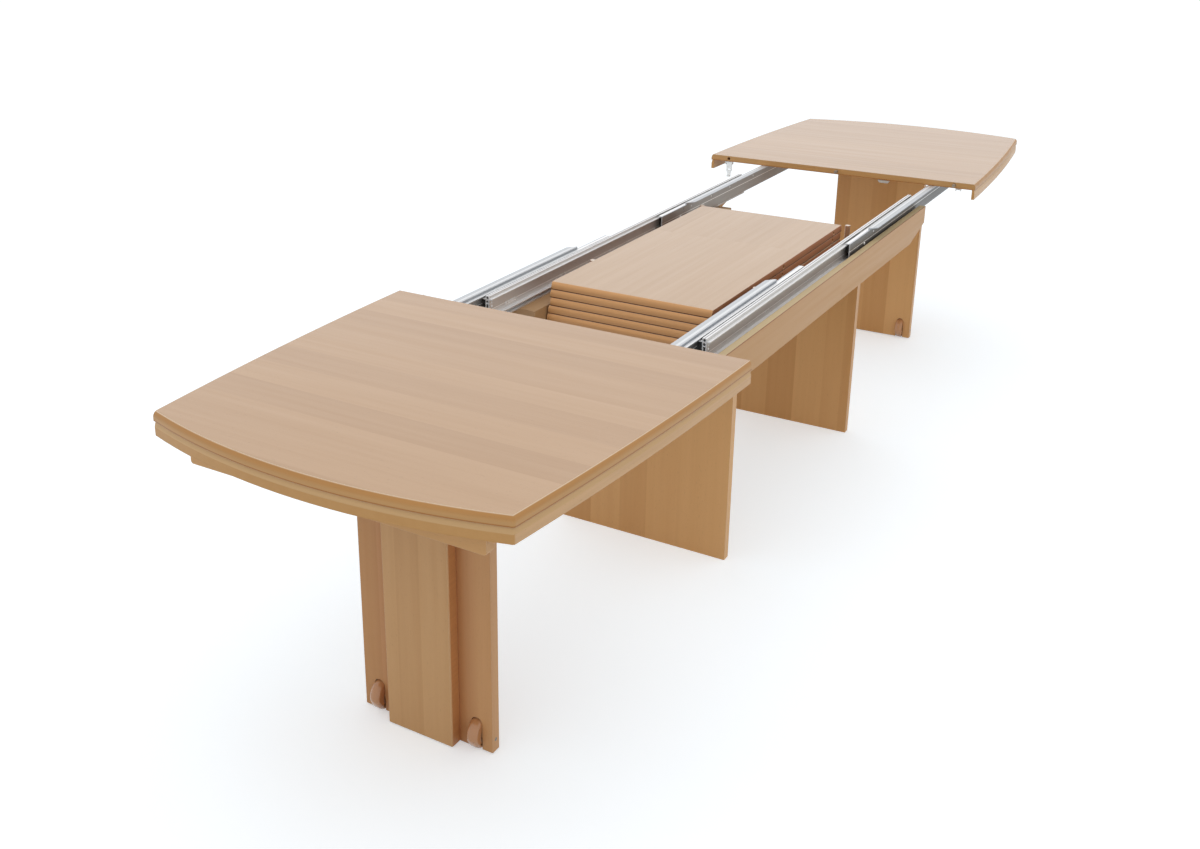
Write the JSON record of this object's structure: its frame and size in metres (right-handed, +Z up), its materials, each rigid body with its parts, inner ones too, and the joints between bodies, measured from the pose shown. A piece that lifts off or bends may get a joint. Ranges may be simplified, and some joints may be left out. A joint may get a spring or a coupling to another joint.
{
  "type": "extending dining table",
  "caption": "Bow-ended dining table drawn open on aluminium slides: two half tops on roller legs part over a centre frame that stores spare leaves.",
  "frame": {"origin": "on the floor under the centre of the table as pictured", "axes": "+X along the table towards the half that stands farther from the camera, +Y across it to the left, +Z up"},
  "size_m": [3.666, 0.926, 0.75],
  "materials": {
    "beech_top": "satin lacquer, grain across the table",
    "beech_edge": "satin lacquer",
    "beech_leg": "satin lacquer, upright grain",
    "beech_frame": "satin lacquer",
    "beech_leaf": "satin lacquer, grain along the leaf",
    "beech_peg": "turned, satin",
    "aluminium": "satin anodised extrusion",
    "steel": "zinc plated",
    "nylon": "matte",
    "white_plastic": "matte",
    "roller": "semi-gloss"
  },
  "bodies": {
    "centre_frame": {"near_frame_panel": "beech_leg", "far_frame_panel": "beech_leg", "storage_shelf": "beech_frame", "left_bearer": "beech_frame", "left_rail": "beech_frame", "left_beam": "aluminium", "near_left_peg": "beech_peg", "far_left_peg": "beech_peg", "near_left_guide": "nylon", "far_left_guide": "nylon", "right_bearer": "beech_frame", "right_rail": "beech_frame", "right_beam": "aluminium", "near_right_peg": "beech_peg", "far_right_peg": "beech_peg", "near_right_guide": "nylon", "far_right_guide": "nylon"},
    "near_half": {"near_top": "beech_top", "near_lip": "beech_edge", "near_cross_rail": "beech_frame", "near_leg_panel": "beech_leg", "near_leg_pilaster": "beech_leg", "near_buffer": "white_plastic", "near_latch_bracket": "steel", "near_keeper": "steel", "near_side_pin": "steel", "near_left_axle": "steel", "near_left_channel": "aluminium", "near_left_shoe": "nylon", "near_right_axle": "steel", "near_right_channel": "aluminium", "near_right_shoe": "nylon"},
    "near_left_roller": {"near_left_roller": "roller"},
    "near_right_roller": {"near_right_roller": "roller"},
    "near_latch": {"near_latch": "steel"},
    "far_half": {"far_top": "beech_top", "far_lip": "beech_edge", "far_cross_rail": "beech_frame", "far_leg_panel": "beech_leg", "far_leg_pilaster": "beech_leg", "far_buffer": "white_plastic", "far_latch_bracket": "steel", "far_keeper": "steel", "far_side_pin": "steel", "far_left_axle": "steel", "far_left_channel": "aluminium", "far_left_shoe": "nylon", "far_right_axle": "steel", "far_right_channel": "aluminium", "far_right_shoe": "nylon", "far_centre_pin": "steel"},
    "far_left_roller": {"far_left_roller": "roller"},
    "far_right_roller": {"far_right_roller": "roller"},
    "far_latch": {"far_latch": "steel"},
    "leaf_1": {"leaf_1": "beech_leaf"},
    "leaf_2": {"leaf_2": "beech_leaf"},
    "leaf_3": {"leaf_3": "beech_leaf"},
    "leaf_4": {"leaf_4": "beech_leaf"},
    "leaf_5": {"leaf_5": "beech_leaf"}
  },
  "joints": [
    {"name": "near_slide", "type": "slide", "parent": "centre_frame", "child": "near_half", "axis": [-1, 0, 0], "range_m": [-0.9275, 0.212]},
    {"name": "near_left_roll", "type": "hinge", "parent": "near_half", "child": "near_left_roller", "pos_m": [-1.465, 0.126, 0.03], "axis": [0, -1, 0], "range_deg": [-1776, 409]},
    {"name": "near_right_roll", "type": "hinge", "parent": "near_half", "child": "near_right_roller", "pos_m": [-1.465, -0.126, 0.03], "axis": [0, -1, 0], "range_deg": [-1776, 409]},
    {"name": "near_latch_swing", "type": "hinge", "parent": "near_half", "child": "near_latch", "pos_m": [-0.958, -0.4059, 0.72], "axis": [0, -1, 0], "range_deg": [0, 90]},
    {"name": "far_slide", "type": "slide", "parent": "centre_frame", "child": "far_half", "axis": [1, 0, 0], "range_m": [-0.9275, 0.212]},
    {"name": "far_left_roll", "type": "hinge", "parent": "far_half", "child": "far_left_roller", "pos_m": [1.465, 0.126, 0.03], "axis": [0, 1, 0], "range_deg": [-1776, 409]},
    {"name": "far_right_roll", "type": "hinge", "parent": "far_half", "child": "far_right_roller", "pos_m": [1.465, -0.126, 0.03], "axis": [0, 1, 0], "range_deg": [-1776, 409]},
    {"name": "far_latch_swing", "type": "hinge", "parent": "far_half", "child": "far_latch", "pos_m": [0.958, 0.4059, 0.72], "axis": [0, 1, 0], "range_deg": [0, 90]},
    {"name": "leaf_5_push", "type": "slide", "parent": "centre_frame", "child": "leaf_5", "axis": [1, 0, 0], "range_m": [-0.0235, 0.1025]},
    {"name": "leaf_4_lift", "type": "slide", "parent": "leaf_5", "child": "leaf_4", "axis": [0, 0, 1], "range_m": [0, 0.15]},
    {"name": "leaf_3_lift", "type": "slide", "parent": "leaf_4", "child": "leaf_3", "axis": [0, 0, 1], "range_m": [0, 0.15]},
    {"name": "leaf_2_lift", "type": "slide", "parent": "leaf_3", "child": "leaf_2", "axis": [0, 0, 1], "range_m": [0, 0.15]},
    {"name": "leaf_1_lift", "type": "slide", "parent": "leaf_2", "child": "leaf_1", "axis": [0, 0, 1], "range_m": [0, 0.15]}
  ],
  "couplings": [
    {"joint": "near_left_roll", "follows": "near_slide", "rad_per_m": 33.333},
    {"joint": "near_right_roll", "follows": "near_slide", "rad_per_m": 33.333},
    {"joint": "far_left_roll", "follows": "far_slide", "rad_per_m": 33.333},
    {"joint": "far_right_roll", "follows": "far_slide", "rad_per_m": 33.333},
    {"joint": "leaf_5_push", "follows": "near_slide", "ratio": -0.11}
  ]
}
